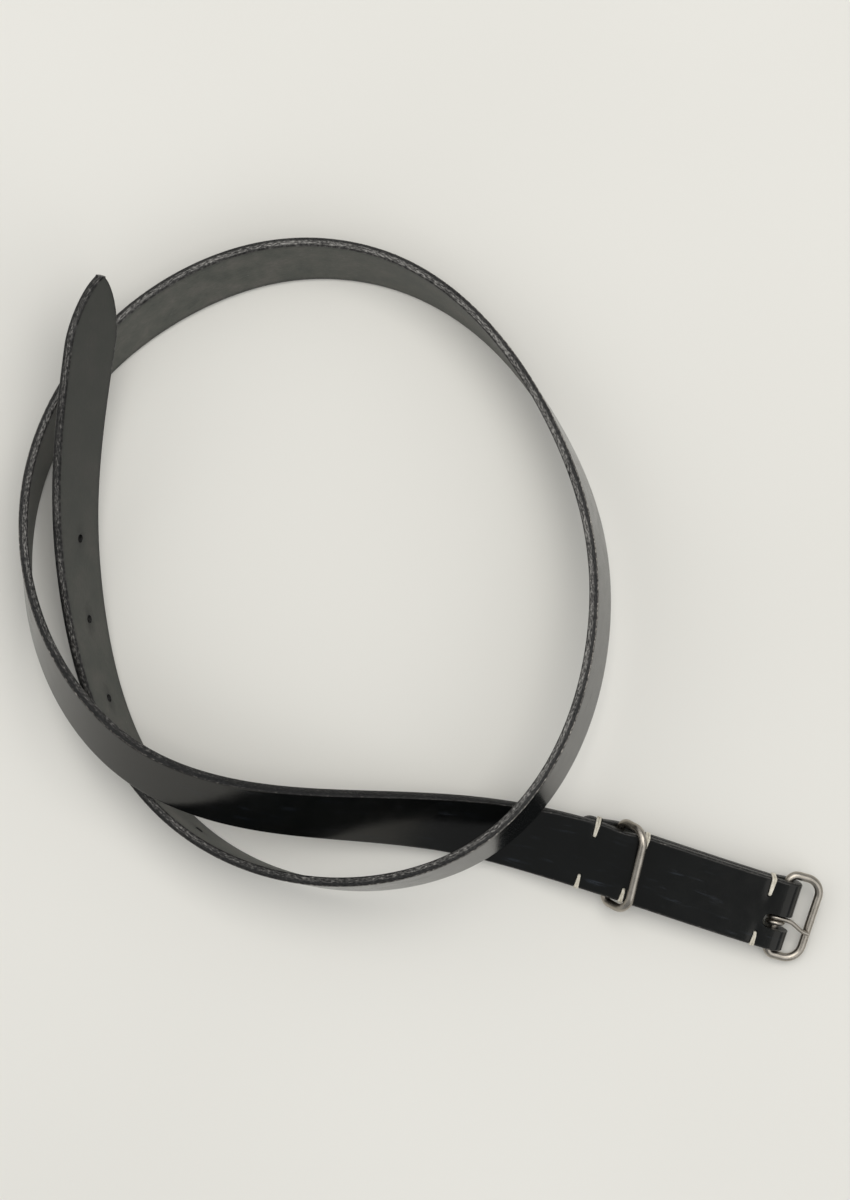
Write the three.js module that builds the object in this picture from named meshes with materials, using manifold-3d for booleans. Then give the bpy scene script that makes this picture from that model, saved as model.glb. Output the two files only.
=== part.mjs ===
// A leather belt with a wire buckle, left lying in a loose overhand knot.
//
// The strap is modelled as the flat strip it is cut from. Its far end is turned back round the
// buckle's bar, and the whole strip is then bent along one route over the surface it lies on.
// Flat coordinates are s (along the strap from the fold, towards the tip), n (up out of the grain
// face) and v (across the strap). All lengths are in millimetres, and +Z is up.

import * as THREE from 'three';
import { mergeVertices } from 'three/addons/utils/BufferGeometryUtils.js';
import Module from 'manifold-3d';

const wasm = await Module();
wasm.setup();

// ---------------------------------------------------------------- driving dimensions

const WIDTH = 25;
const THICKNESS = 3.2;
const CLEARANCE = 0.35; // between a wire or thread and the leather it lies on

const WIRE = 2.9; // diameter of the buckle's and the keeper's wire
const RING_WIDTH = 29.5; // between the centre lines of a ring's two legs
const RING_DEPTH = 12; // between the centre lines of its two bars
const BACK_CORNER = 3; // corner radius beside the bar inside the leather
const FRONT_CORNER = 5.5; // corner radius beside the free bar

const POCKET = 3.9; // gap between the leather's layers where they pass a bar
const PINCH = 0.4; // gap between the layers elsewhere
const BUCKLE_POCKET_REACH = 7.5; // how far from its bar each pocket closes to the pinch
const KEEPER_POCKET_REACH = 9.5;
const TURN_BACK = 81; // length of the turned-back layer
const TURN_BACK_CORNER = 4;

const BAR_S = POCKET / 2 + THICKNESS; // the buckle's bar, from the fold's outer end
const KEEPER_S = 65.8; // the keeper's captured bar
const BAR_N = -(THICKNESS + POCKET) / 2;
const BUCKLE_DROOP = 9; // degrees below the strap's plane
const KEEPER_SKEW = 4.5; // degrees, turned in the strap's plane
const KEEPER_V = -0.5; // the middle of its captured bar lies this far off the strap's middle
const KEEPER_LIFT = 1.35; // the ring's corners on the strap's edges hold its free bar this high

const SLOT_END = 10.2; // the prong's slot reaches this far past the fold
const SLOT_HALF_WIDTH = 2.7;
const SLOT_V = -2.45;

const PRONG_WIRE = 1.7;
const PRONG_PITCH = 1.85;
const PRONG_TURNS = 1.5;
const PRONG_V = -1.1;

const HOLE_DIAMETER = 3;
const HOLE_FROM_TIP = 92;
const HOLE_PITCH = 28.6;
const HOLE_COUNT = 5;

const TIP_TAPER = 24;
const TIP_BLUNT = 1.2; // half the width of the very end

const THREAD = 1;
const THREAD_BITE = 0.8; // how far a stitch is pulled into the strap's edge
const THREAD_BEND = 0.9; // radius of a stitch's corners
const THREAD_SLACK = 0.2; // extra room under the turned-back layer, which slopes there

// Each stitch runs from a hole at (s, holeV) round the edge on the same side.
const STITCHES = {
  buckle_upper: { s: 10.7, holeV: 6.5 },
  buckle_lower: { s: 11.2, holeV: -8 },
  keeper_upper: { s: 57, holeV: 7 },
  keeper_lower: { s: 59.2, holeV: -8 },
  end_upper: { s: 74.6, holeV: 7.6 },
  end_lower: { s: 75.6, holeV: -8 },
};

// The middle line of the strap, from the buckle end to the tip: x, y, z and the lean of the
// strap's width from upright in degrees, with the grain side up when it is negative. These are
// the control points of a cubic B-spline, so the first and last lie beyond the strap's ends.
const ROUTE = [
  [187, -67.5, 10.5, -80],
  [146, -69, 10.5, -81],
  [105.5, -68.7, 12, -80],
  [66, -68.1, 11.5, -77],
  [27, -71, 8.5, -52],
  [-10.5, -80, 18.5, -40.5],
  [-47.5, -88.5, 32, -37],
  [-87, -87.5, 41, -33.5],
  [-121, -68, 32.5, -20],
  [-145, -37, 18.5, -6.5],
  [-154.5, 1.5, 13, 6],
  [-146.5, 41, 12.5, 17.5],
  [-124.5, 74.5, 12, 27],
  [-93, 99, 12, 26],
  [-53, 107, 12.5, 17.5],
  [-15, 95, 14, 1.5],
  [16.5, 70, 17, -6],
  [41, 39.5, 21, -12],
  [53.5, 2, 25, -14.5],
  [54.5, -38.5, 29, -16],
  [40, -76, 30.5, -16.5],
  [8, -100.5, 26.5, -11],
  [-31, -110, 19, -3],
  [-70, -102, 13.5, 8.5],
  [-101, -76.5, 12, 19.5],
  [-121.5, -42, 15, 24.5],
  [-135.5, -6, 22.5, 27],
  [-142.5, 31.5, 32.5, 30],
  [-147.5, 70, 42, 32],
  [-152.5, 108, 50.5, 30],
];

// Moves the origin under the middle of the belt's box, at the surface it lies on.
const ORIGIN = new THREE.Vector3(-0.285, -0.035, 0.05);

// ---------------------------------------------------------------- materials

const leather = new THREE.MeshStandardMaterial({ color: 0x17181a, roughness: 0.45, metalness: 0 });
const steel = new THREE.MeshStandardMaterial({ color: 0xa39b91, roughness: 0.35, metalness: 1 });
const thread = new THREE.MeshStandardMaterial({ color: 0xe0d8ca, roughness: 0.8, metalness: 0 });

// ---------------------------------------------------------------- the strap's route

const UP = new THREE.Vector3(0, 0, 1);

/** The weights of four neighbouring control points at f of the way along one span. */
function placeWeights(f) {
  return [
    (1 - f) ** 3 / 6,
    (3 * f ** 3 - 6 * f ** 2 + 4) / 6,
    (-3 * f ** 3 + 3 * f ** 2 + 3 * f + 1) / 6,
    f ** 3 / 6,
  ];
}

/** The rates at which those weights change. */
function slopeWeights(f) {
  return [
    -((1 - f) ** 2) / 2,
    (3 * f ** 2 - 4 * f) / 2,
    (-3 * f ** 2 + 2 * f + 1) / 2,
    f ** 2 / 2,
  ];
}

/** A uniform cubic B-spline over the route's control points, which also carries the lean. */
class StrapRoute extends THREE.Curve {
  constructor(controls) {
    super();
    this.controls = controls;
    this.spans = controls.length - 3;
    this.arcLengthDivisions = 40 * this.spans;
  }

  blend(t, weigh) {
    const span = Math.min(Math.floor(t * this.spans), this.spans - 1);
    const weights = weigh(t * this.spans - span);
    return [0, 1, 2, 3].map((column) =>
      weights.reduce((sum, weight, row) => sum + weight * this.controls[span + row][column], 0)
    );
  }

  getPoint(t) {
    const [x, y, z] = this.blend(t, placeWeights);
    return new THREE.Vector3(x, y, z);
  }

  getTangent(t) {
    const [x, y, z] = this.blend(t, slopeWeights);
    return new THREE.Vector3(x, y, z).normalize();
  }

  getLean(t) {
    return THREE.MathUtils.degToRad(this.blend(t, placeWeights)[3]);
  }
}

const route = new StrapRoute(ROUTE);
const LENGTH = route.getLength();

/** The strap's axes at s: along towards the tip, out of the grain face, and across the width. */
function strapFrame(s) {
  const onRoute = THREE.MathUtils.clamp(s, 0, LENGTH);
  const t = route.getUtoTmapping(0, onRoute);
  const along = route.getTangent(t);
  const centre = route.getPoint(t).addScaledVector(along, s - onRoute).sub(ORIGIN);
  const inward = new THREE.Vector3().crossVectors(along, UP).normalize();
  const lean = route.getLean(t);
  const across = UP.clone().multiplyScalar(Math.cos(lean)).addScaledVector(inward, -Math.sin(lean));
  across.addScaledVector(along, -across.dot(along)).normalize();
  const grain = new THREE.Vector3().crossVectors(across, along);
  return { centre, along, grain, across };
}

/** Bends a geometry made in flat coordinates (s, n, v) along the route. */
function bend(geometry) {
  const position = geometry.getAttribute('position');
  for (let i = 0; i < position.count; i += 1) {
    const { centre, grain, across } = strapFrame(position.getX(i));
    const point = centre.addScaledVector(grain, position.getY(i));
    point.addScaledVector(across, position.getZ(i));
    position.setXYZ(i, point.x, point.y, point.z);
  }
  return geometry;
}

/** A group whose x, y and z axes are the strap's s, n and v at one place. */
function onStrap(s, ...children) {
  const { centre, along, grain, across } = strapFrame(s);
  const group = new THREE.Group();
  group.position.copy(centre);
  group.quaternion.setFromRotationMatrix(new THREE.Matrix4().makeBasis(along, grain, across));
  group.add(...children);
  return group;
}

// ---------------------------------------------------------------- joining and cutting

function toManifold(geometry) {
  const bare = geometry.clone();
  bare.deleteAttribute('normal');
  bare.deleteAttribute('uv');
  const merged = mergeVertices(bare, 1e-4);
  return new wasm.Manifold(
    new wasm.Mesh({
      numProp: 3,
      vertProperties: new Float32Array(merged.getAttribute('position').array),
      triVerts: new Uint32Array(merged.getIndex().array),
    })
  );
}

function toGeometry(manifold) {
  const mesh = manifold.getMesh();
  const geometry = new THREE.BufferGeometry();
  geometry.setAttribute('position', new THREE.BufferAttribute(mesh.vertProperties, 3));
  geometry.setIndex(new THREE.BufferAttribute(mesh.triVerts, 1));
  geometry.computeVertexNormals();
  return geometry;
}

function cut(geometry, cutters) {
  const cutAway = (rest, cutter) => rest.subtract(toManifold(cutter));
  return toGeometry(cutters.reduce(cutAway, toManifold(geometry)));
}

function namedMesh(name, geometry, material) {
  const mesh = new THREE.Mesh(geometry, material);
  mesh.name = name;
  return mesh;
}

// ---------------------------------------------------------------- the strap

const FOLD_RADIUS = (POCKET + THICKNESS) / 2; // of the leather's middle, round the buckle's bar
const FOLD_LENGTH = Math.PI * FOLD_RADIUS;

/** How far apart the two layers lie at s: open round each bar and pinched by the stitches. */
function layerGap(s) {
  const openRound = (bar, reach) => {
    const away = Math.min(Math.abs(s - bar) / reach, 1);
    return (1 + Math.cos(Math.PI * away)) / 2;
  };
  const open = Math.max(
    openRound(BAR_S, BUCKLE_POCKET_REACH),
    openRound(KEEPER_S, KEEPER_POCKET_REACH)
  );
  return PINCH + (POCKET - PINCH) * open;
}

/** The middle of the leather in (s, n), at a distance q along it from the top of the fold. */
function leatherMiddle(q) {
  if (q >= 0) {
    return new THREE.Vector2(BAR_S + q, 0);
  }
  if (q > -FOLD_LENGTH) {
    const turned = -q / FOLD_RADIUS;
    return new THREE.Vector2(
      BAR_S - FOLD_RADIUS * Math.sin(turned),
      BAR_N + FOLD_RADIUS * Math.cos(turned)
    );
  }
  const s = BAR_S - FOLD_LENGTH - q;
  return new THREE.Vector2(s, -THICKNESS - layerGap(s));
}

/** Half the strap's width, which rounds off at the turned-back end and tapers to the tip. */
function halfWidth(q, qStart, qTip) {
  const fromStart = q - qStart;
  if (fromStart < TURN_BACK_CORNER) {
    const rise = TURN_BACK_CORNER - fromStart;
    return WIDTH / 2 - TURN_BACK_CORNER + Math.sqrt(TURN_BACK_CORNER ** 2 - rise ** 2);
  }
  const toTip = Math.min((qTip - q) / TIP_TAPER, 1);
  const ogive = (1 - (1 - toTip) ** 1.7) ** 0.7;
  return Math.max((WIDTH / 2) * ogive, TIP_BLUNT);
}

/** Places along the leather where its outline has points: close at bends and at the tip. */
function leatherStations(qStart, qTip) {
  const stretch = (from, to, step) => {
    const count = Math.ceil((to - from) / step);
    return Array.from({ length: count }, (_, i) => from + ((to - from) * i) / count);
  };
  return [
    ...stretch(qStart, qStart + TURN_BACK_CORNER, 1),
    ...stretch(qStart + TURN_BACK_CORNER, -FOLD_LENGTH, 1.8),
    ...stretch(-FOLD_LENGTH, 0, 0.9),
    ...stretch(0, qTip - TIP_TAPER, 6),
    ...stretch(qTip - TIP_TAPER, qTip, 1),
    qTip,
  ];
}

function stripGeometry() {
  const qStart = -FOLD_LENGTH - (TURN_BACK - BAR_S);
  const qTip = LENGTH - BAR_S;
  const stations = leatherStations(qStart, qTip);
  const steps = stations.length - 1;
  const geometry = new THREE.BoxGeometry(steps, THICKNESS, 2, steps, 1, 1);
  const position = geometry.getAttribute('position');
  for (let i = 0; i < position.count; i += 1) {
    const q = stations[Math.round(position.getX(i) + steps / 2)];
    const middle = leatherMiddle(q);
    const direction = leatherMiddle(q + 0.01).sub(leatherMiddle(q - 0.01)).normalize();
    const offset = position.getY(i);
    const v = position.getZ(i) * halfWidth(q, qStart, qTip);
    position.setXYZ(i, middle.x - direction.y * offset, middle.y + direction.x * offset, v);
  }
  return geometry;
}

function prongHoles() {
  return Array.from({ length: HOLE_COUNT }, (_, i) => {
    const s = LENGTH - HOLE_FROM_TIP - HOLE_PITCH * i;
    const radius = HOLE_DIAMETER / 2;
    return new THREE.CylinderGeometry(radius, radius, 3 * THICKNESS, 16).translate(s, 0, 0);
  });
}

/** The slot for the prong, open round the fold and closed by a round end. */
function prongSlot() {
  const depth = 8 * THICKNESS;
  const roundCentre = SLOT_END - SLOT_HALF_WIDTH;
  const length = roundCentre + THICKNESS;
  return [
    new THREE.BoxGeometry(length, depth, 2 * SLOT_HALF_WIDTH).translate(
      roundCentre - length / 2,
      BAR_N,
      SLOT_V
    ),
    new THREE.CylinderGeometry(SLOT_HALF_WIDTH, SLOT_HALF_WIDTH, depth, 24).translate(
      roundCentre,
      BAR_N,
      SLOT_V
    ),
  ];
}

/** For each stitch, a hole through both layers and a notch in the edge where it pulls tight. */
function stitchCuts() {
  const room = THREAD + 2 * CLEARANCE;
  const depth = 6 * THICKNESS;
  return Object.values(STITCHES).flatMap(({ s, holeV }) => {
    const edge = (Math.sign(holeV) * WIDTH) / 2;
    return [
      new THREE.CylinderGeometry(room / 2, room / 2, depth, 10).translate(s, BAR_N, holeV),
      new THREE.BoxGeometry(room, depth, 2 * THREAD_BITE).translate(s, BAR_N, edge),
    ];
  });
}

function strap() {
  const cutters = [...prongHoles(), ...prongSlot(), ...stitchCuts()].map(bend);
  return namedMesh('strap', cut(bend(stripGeometry()), cutters), leather);
}

// ---------------------------------------------------------------- wire and thread

/** A closed outline in the XY plane with four rounded corners, given from the low left one. */
function roundedOutline(x0, x1, y0, y1, [lowLeft, lowRight, highRight, highLeft]) {
  const quarter = Math.PI / 2;
  const path = new THREE.Path();
  path.moveTo(x0 + lowLeft, y0);
  path.lineTo(x1 - lowRight, y0);
  path.absarc(x1 - lowRight, y0 + lowRight, lowRight, -quarter, 0);
  path.lineTo(x1, y1 - highRight);
  path.absarc(x1 - highRight, y1 - highRight, highRight, 0, quarter);
  path.lineTo(x0 + highLeft, y1);
  path.absarc(x0 + highLeft, y1 - highLeft, highLeft, quarter, 2 * quarter);
  path.lineTo(x0, y0 + lowLeft);
  path.absarc(x0 + lowLeft, y0 + lowLeft, lowLeft, 2 * quarter, 3 * quarter);
  return path;
}

/** A wire of the given radius bent round a closed outline: a torus laid along the outline. */
function closedWire(outline, radius, segments, sides) {
  const geometry = new THREE.TorusGeometry(1, radius, sides, segments);
  const position = geometry.getAttribute('position');
  const uv = geometry.getAttribute('uv');
  for (let i = 0; i < position.count; i += 1) {
    const along = uv.getX(i) % 1;
    const round = (uv.getY(i) % 1) * 2 * Math.PI;
    const centre = outline.getPointAt(along);
    const tangent = outline.getTangentAt(along);
    const outward = radius * Math.cos(round);
    position.setXYZ(
      i,
      centre.x + tangent.y * outward,
      centre.y - tangent.x * outward,
      radius * Math.sin(round)
    );
  }
  return geometry;
}

/** A wire ring in the strap's plane, with its captured bar on z and its free bar towards -x. */
function wireRing(name) {
  const half = RING_WIDTH / 2;
  const corners = [FRONT_CORNER, BACK_CORNER, BACK_CORNER, FRONT_CORNER];
  const outline = roundedOutline(-RING_DEPTH, 0, -half, half, corners);
  const geometry = closedWire(outline, WIRE / 2, 66, 10).rotateX(Math.PI / 2);
  return namedMesh(name, geometry, steel);
}

/** The prong in the buckle's axes: coiled round the bar, then out over the free bar. */
function prong() {
  const radius = PRONG_WIRE / 2;
  const reach = WIRE / 2 + CLEARANCE + radius;
  const points = [];
  const coilSteps = 12 * PRONG_TURNS;
  for (let i = 0; i <= coilSteps; i += 1) {
    const turnsLeft = (PRONG_TURNS * (coilSteps - i)) / coilSteps;
    const angle = Math.PI / 2 - 2 * Math.PI * turnsLeft;
    const v = PRONG_V - PRONG_PITCH * turnsLeft;
    points.push(new THREE.Vector3(reach * Math.cos(angle), reach * Math.sin(angle), v));
  }
  points.push(new THREE.Vector3(-2.2, reach, PRONG_V));
  points.push(new THREE.Vector3(-4.8, reach, PRONG_V - 0.3));
  points.push(new THREE.Vector3(-7.2, reach, PRONG_V - 1.4));
  points.push(new THREE.Vector3(-9.6, reach, PRONG_V - 2.5));
  const tip = new THREE.Vector3(-RING_DEPTH, reach, PRONG_V - 2.9);
  points.push(tip);

  const section = new THREE.Shape().absarc(0, 0, radius, 0, 2 * Math.PI);
  const wire = new THREE.ExtrudeGeometry(section, {
    steps: 64,
    curveSegments: 4,
    extrudePath: new THREE.CatmullRomCurve3(points, false, 'centripetal'),
  });
  const roundEnd = new THREE.SphereGeometry(radius, 12, 8).translate(tip.x, tip.y, tip.z);
  return namedMesh('prong', toGeometry(toManifold(wire).add(toManifold(roundEnd))), steel);
}

/** One stitch: a loop of thread through both layers and round the strap's edge. */
function stitch(name, s, holeV) {
  const edge = WIDTH / 2 - THREAD_BITE + CLEARANCE / 2 + THREAD / 2;
  const lift = CLEARANCE + THREAD / 2;
  const top = THICKNESS / 2 + lift;
  const bottom = -1.5 * THICKNESS - layerGap(s) - lift - THREAD_SLACK;
  const [inner, outer] = holeV > 0 ? [holeV, edge] : [-edge, holeV];
  const corners = Array(4).fill(THREAD_BEND);
  const outline = roundedOutline(inner, outer, bottom, top, corners);
  const geometry = closedWire(outline, THREAD / 2, 40, 6).rotateY(-Math.PI / 2);
  return onStrap(s, namedMesh(name, geometry, thread));
}

// ---------------------------------------------------------------- assembly

function buckle() {
  const frame = wireRing('buckle_frame');
  frame.add(prong());
  frame.position.y = BAR_N;
  frame.rotation.z = THREE.MathUtils.degToRad(BUCKLE_DROOP);
  return onStrap(BAR_S, frame);
}

/** The keeper's free bar lies over the grain face, so the ring slopes up past the edges. */
function keeper() {
  const rise = (THICKNESS + WIRE) / 2 + CLEARANCE + KEEPER_LIFT - BAR_N;
  const ring = wireRing('keeper_ring');
  ring.position.set(0, BAR_N, KEEPER_V);
  ring.rotation.set(0, THREE.MathUtils.degToRad(KEEPER_SKEW), -Math.asin(rise / RING_DEPTH));
  return onStrap(KEEPER_S, ring);
}

function stitches() {
  return Object.entries(STITCHES).map(([name, { s, holeV }]) =>
    stitch(`stitch_${name}`, s, holeV)
  );
}

const belt = new THREE.Group();
belt.add(strap(), buckle(), keeper(), ...stitches());

export default belt;
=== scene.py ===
"""A narrow black leather belt with a wire buckle, lying in a loose overhand knot."""

import math

import bmesh
import bpy
import numpy as np
from mathutils import Matrix, Vector


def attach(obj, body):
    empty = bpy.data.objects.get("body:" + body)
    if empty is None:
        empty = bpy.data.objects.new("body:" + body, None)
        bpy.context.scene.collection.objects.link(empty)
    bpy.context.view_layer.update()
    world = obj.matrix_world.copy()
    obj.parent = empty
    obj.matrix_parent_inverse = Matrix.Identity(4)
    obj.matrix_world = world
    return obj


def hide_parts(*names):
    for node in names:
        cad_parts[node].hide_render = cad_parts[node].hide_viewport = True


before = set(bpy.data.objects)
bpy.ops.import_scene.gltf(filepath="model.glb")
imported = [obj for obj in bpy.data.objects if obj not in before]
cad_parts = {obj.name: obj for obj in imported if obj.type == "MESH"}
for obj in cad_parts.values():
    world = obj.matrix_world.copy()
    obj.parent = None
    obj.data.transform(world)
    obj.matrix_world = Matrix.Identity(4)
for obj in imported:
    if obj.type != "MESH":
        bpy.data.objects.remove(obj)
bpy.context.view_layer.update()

MM = 0.001

# ---------------------------------------------------------------- sizes, in millimetres

WIDTH = 25
THICKNESS = 3.2
CLEARANCE = 0.35

WIRE = 2.9
RING_WIDTH = 29.5
RING_DEPTH = 12
BACK_CORNER = 3
FRONT_CORNER = 5.5

POCKET = 3.9
PINCH = 0.4
BUCKLE_POCKET_REACH = 7.5
KEEPER_POCKET_REACH = 9.5
TURN_BACK = 81
TURN_BACK_CORNER = 4

BAR_S = POCKET / 2 + THICKNESS
KEEPER_S = 65.8
BAR_N = -(THICKNESS + POCKET) / 2
BUCKLE_DROOP = 9
KEEPER_SKEW = 4.5
KEEPER_V = -0.5
KEEPER_LIFT = 1.35

SLOT_END = 10.2
SLOT_HALF_WIDTH = 2.7
SLOT_V = -2.45

PRONG_WIRE = 1.7
PRONG_TIP_WIRE = 1.35
PRONG_PITCH = 1.85
PRONG_TURNS = 1.5
PRONG_V = -1.1

HOLE_DIAMETER = 3
HOLE_FROM_TIP = 92
HOLE_PITCH = 28.6
HOLE_COUNT = 5

TIP_TAPER = 24
TIP_BLUNT = 1.2

THREAD = 1
THREAD_BITE = 0.8

# How far in from its edges the strap's rounding and trim reach.
EDGE_BAND = 2.0

# Each stitch runs from a hole at (s, v) round the edge on the same side.
STITCHES = {
    "buckle_upper": (10.7, 6.5),
    "buckle_lower": (11.2, -8),
    "keeper_upper": (57, 7),
    "keeper_lower": (59.2, -8),
    "end_upper": (74.6, 7.6),
    "end_lower": (75.6, -8),
}

# The strap's middle line from the buckle end to the tip: x, y, z and the lean of its width from
# upright in degrees. These are the control points of a cubic B-spline.
ROUTE = [
    (187, -67.5, 10.5, -80),
    (146, -69, 10.5, -81),
    (105.5, -68.7, 12, -80),
    (66, -68.1, 11.5, -77),
    (27, -71, 8.5, -52),
    (-10.5, -80, 18.5, -40.5),
    (-47.5, -88.5, 32, -37),
    (-87, -87.5, 41, -33.5),
    (-121, -68, 32.5, -20),
    (-145, -37, 18.5, -6.5),
    (-154.5, 1.5, 13, 6),
    (-146.5, 41, 12.5, 17.5),
    (-124.5, 74.5, 12, 27),
    (-93, 99, 12, 26),
    (-53, 107, 12.5, 17.5),
    (-15, 95, 14, 1.5),
    (16.5, 70, 17, -6),
    (41, 39.5, 21, -12),
    (53.5, 2, 25, -14.5),
    (54.5, -38.5, 29, -16),
    (40, -76, 30.5, -16.5),
    (8, -100.5, 26.5, -11),
    (-31, -110, 19, -3),
    (-70, -102, 13.5, 8.5),
    (-101, -76.5, 12, 19.5),
    (-121.5, -42, 15, 24.5),
    (-135.5, -6, 22.5, 27),
    (-142.5, 31.5, 32.5, 30),
    (-147.5, 70, 42, 32),
    (-152.5, 108, 50.5, 30),
]
ORIGIN = np.array((-0.285, -0.035, 0.05))

# ---------------------------------------------------------------- the strap's route

CONTROLS = np.array(ROUTE, dtype=float)
SPANS = len(ROUTE) - 3


def spline(t):
    """Position and lean on the route, and its direction, at each t from 0 to 1."""
    place = np.clip(t, 0, 1) * SPANS
    span = np.minimum(place.astype(int), SPANS - 1)
    f = (place - span)[:, None]
    weights = np.concatenate(
        [(1 - f) ** 3, 3 * f**3 - 6 * f**2 + 4, -3 * f**3 + 3 * f**2 + 3 * f + 1, f**3], axis=1
    )
    slopes = np.concatenate(
        [-((1 - f) ** 2), 3 * f**2 - 4 * f, -3 * f**2 + 2 * f + 1, f**2], axis=1
    )
    near = CONTROLS[span[:, None] + np.arange(4)]
    place_and_lean = np.einsum("ij,ijk->ik", weights / 6, near)
    along = np.einsum("ij,ijk->ik", slopes, near)[:, :3]
    return place_and_lean, along / np.linalg.norm(along, axis=1, keepdims=True)


STEPS_IN_SPAN = 40
TABLE_T = np.linspace(0, 1, STEPS_IN_SPAN * SPANS + 1)
TABLE_STEPS = np.linalg.norm(np.diff(spline(TABLE_T)[0][:, :3], axis=0), axis=1)
TABLE_S = np.concatenate([[0], np.cumsum(TABLE_STEPS)])
LENGTH = TABLE_S[-1]
UP = np.array((0.0, 0.0, 1.0))


def strap_frames(s):
    """The strap's centre and its axes at each s: along, out of the grain face, and across."""
    s = np.atleast_1d(np.asarray(s, dtype=float))
    on_route = np.clip(s, 0, LENGTH)
    place, along = spline(np.interp(on_route, TABLE_S, TABLE_T))
    centre = place[:, :3] + along * (s - on_route)[:, None] - ORIGIN
    inward = np.cross(along, UP)
    inward /= np.linalg.norm(inward, axis=1, keepdims=True)
    lean = np.radians(place[:, 3])[:, None]
    across = np.cos(lean) * UP - np.sin(lean) * inward
    across -= along * np.sum(across * along, axis=1, keepdims=True)
    across /= np.linalg.norm(across, axis=1, keepdims=True)
    return centre, along, np.cross(across, along), across


def bend(points):
    """Takes points (s, n, v) in millimetres to their places in metres."""
    points = np.asarray(points, dtype=float)
    centre, _, grain, across = strap_frames(points[:, 0])
    return (centre + grain * points[:, 1:2] + across * points[:, 2:3]) * MM


def strap_matrix(s):
    """The matrix, in metres, from the strap's own s, n and v directions at one place."""
    centre, along, grain, across = (axis[0] for axis in strap_frames(s))
    matrix = Matrix((along, grain, across)).transposed().to_4x4()
    matrix.translation = Vector(centre * MM)
    return matrix


# ---------------------------------------------------------------- the leather's own shape

FOLD_RADIUS = (POCKET + THICKNESS) / 2
FOLD_LENGTH = math.pi * FOLD_RADIUS
Q_START = -FOLD_LENGTH - (TURN_BACK - BAR_S)
Q_TIP = LENGTH - BAR_S
LAST_HOLE_Q = Q_TIP - HOLE_FROM_TIP
SLOPE_STEP = 0.01
TIP_ROUNDNESS = 1.7
TIP_FULLNESS = 0.7


def layer_gap(s):
    """The room between the two layers at s: a pocket at each bar, and nearly shut elsewhere."""

    def open_round(bar, reach):
        away = np.minimum(np.abs(s - bar) / reach, 1)
        return (1 + np.cos(math.pi * away)) / 2

    buckle_pocket = open_round(BAR_S, BUCKLE_POCKET_REACH)
    keeper_pocket = open_round(KEEPER_S, KEEPER_POCKET_REACH)
    return PINCH + (POCKET - PINCH) * np.maximum(buckle_pocket, keeper_pocket)


def leather_middle(q):
    """The middle of the leather in (s, n), at distances q along it from the top of the fold."""
    turned = np.clip(-q / FOLD_RADIUS, 0, math.pi)
    s = np.where(q >= 0, BAR_S + q, BAR_S - FOLD_RADIUS * np.sin(turned))
    n = np.where(q >= 0, 0, BAR_N + FOLD_RADIUS * np.cos(turned))
    under = q <= -FOLD_LENGTH
    s_under = BAR_S - FOLD_LENGTH - q
    s = np.where(under, s_under, s)
    n = np.where(under, -THICKNESS - layer_gap(s_under), n)
    return np.stack([s, n], axis=1)


def fold(q, offset):
    """Where a point lies in (s, n), offset out of the grain face at q along the leather."""
    direction = leather_middle(q + SLOPE_STEP) - leather_middle(q - SLOPE_STEP)
    direction /= np.linalg.norm(direction, axis=1, keepdims=True)
    middle = leather_middle(q)
    return np.stack(
        [middle[:, 0] - direction[:, 1] * offset, middle[:, 1] + direction[:, 0] * offset], axis=1
    )


def half_width(q):
    """Half the leather's width at q, with its rounded first corners and its tapered tip."""
    from_start = np.clip(q - Q_START, 0, TURN_BACK_CORNER)
    corner = TURN_BACK_CORNER - np.sqrt(
        TURN_BACK_CORNER**2 - (TURN_BACK_CORNER - from_start) ** 2
    )
    to_tip = np.clip((Q_TIP - q) / TIP_TAPER, 0, 1)
    ogive = (1 - (1 - to_tip) ** TIP_ROUNDNESS) ** TIP_FULLNESS
    return np.maximum(WIDTH / 2 * ogive - corner, TIP_BLUNT)


# ---------------------------------------------------------------- small mesh tools


SHARP_ABOVE = 40
LEATHER_SHARP_ABOVE = 50


def shade_smooth(mesh, sharp_above):
    """Smooth shading, with edges left sharp above an angle in degrees."""
    mesh.shade_smooth()
    mesh.set_sharp_from_angle(angle=math.radians(sharp_above))


def new_object(name, vertices, faces, materials):
    mesh = bpy.data.meshes.new(name)
    mesh.from_pydata([tuple(v) for v in vertices], [], [tuple(f) for f in faces])
    mesh.validate()
    for material in materials:
        mesh.materials.append(material)
    shade_smooth(mesh, SHARP_ABOVE)
    piece = bpy.data.objects.new(name, mesh)
    bpy.context.scene.collection.objects.link(piece)
    return piece


def grid_faces(rows, columns, close_rows=False, close_columns=False):
    """Quads over a grid of vertices numbered row by row."""
    faces = []
    for i in range(rows if close_rows else rows - 1):
        for j in range(columns if close_columns else columns - 1):
            i2, j2 = (i + 1) % rows, (j + 1) % columns
            faces.append(
                (i * columns + j, i2 * columns + j, i2 * columns + j2, i * columns + j2)
            )
    return faces


# A direction that no wire here starts along.
ANY_AXIS = (0.3, 0.5, 0.8)


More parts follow.
